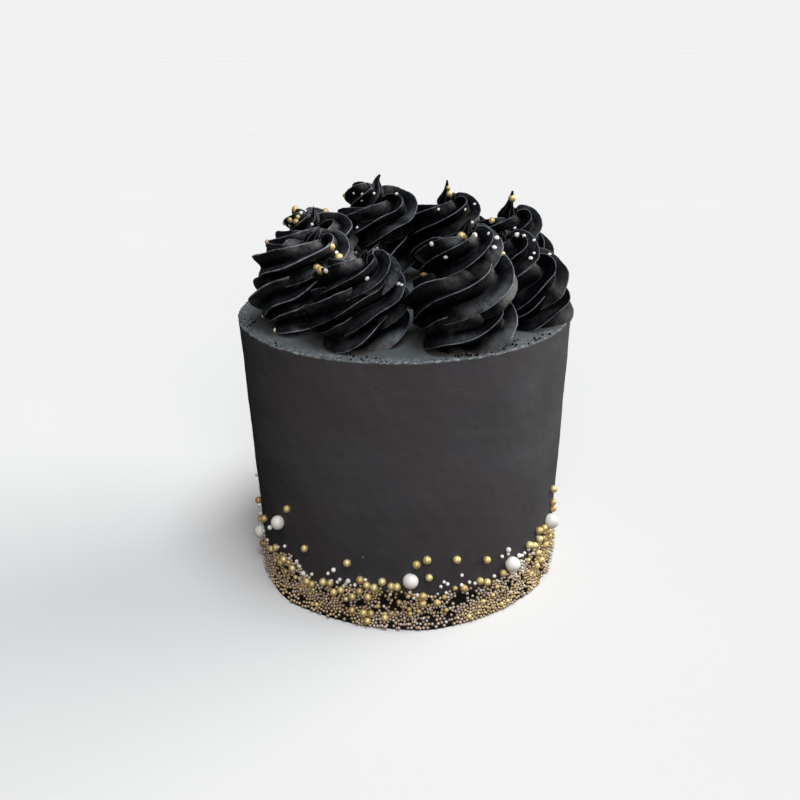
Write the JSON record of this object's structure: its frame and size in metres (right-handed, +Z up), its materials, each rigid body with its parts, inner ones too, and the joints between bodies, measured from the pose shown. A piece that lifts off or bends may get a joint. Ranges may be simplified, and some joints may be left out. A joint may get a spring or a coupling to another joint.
{
  "type": "iced chocolate cake",
  "caption": "Tall round cake in matte black buttercream, topped by a ring of piped swirls with ridged flutes, with a band of sugar beads round its foot.",
  "frame": {"origin": "centre of the flat underside that the cake rests on", "axes": "+Z up through the cake, -Y towards the side that the picture shows"},
  "size_m": [0.1708, 0.1743, 0.1963],
  "materials": {
    "icing": "matte smoothed black buttercream with a scatter of fine pits",
    "buttercream": "satin piped black buttercream",
    "gold_beads": "satin gold lustre on sugar beads",
    "pearls": "soft pearl lustre on sugar beads",
    "nonpareils": "champagne and silver lustre on tiny sugar balls"
  },
  "bodies": {
    "root": {"cake": "icing", "swirl_front_right": "buttercream", "swirl_front_left": "buttercream", "swirl_left_front": "buttercream", "swirl_left_back": "buttercream", "swirl_back_left": "buttercream", "swirl_back_right": "buttercream", "swirl_right_back": "buttercream", "swirl_right_front": "buttercream"}
  },
  "joints": []
}
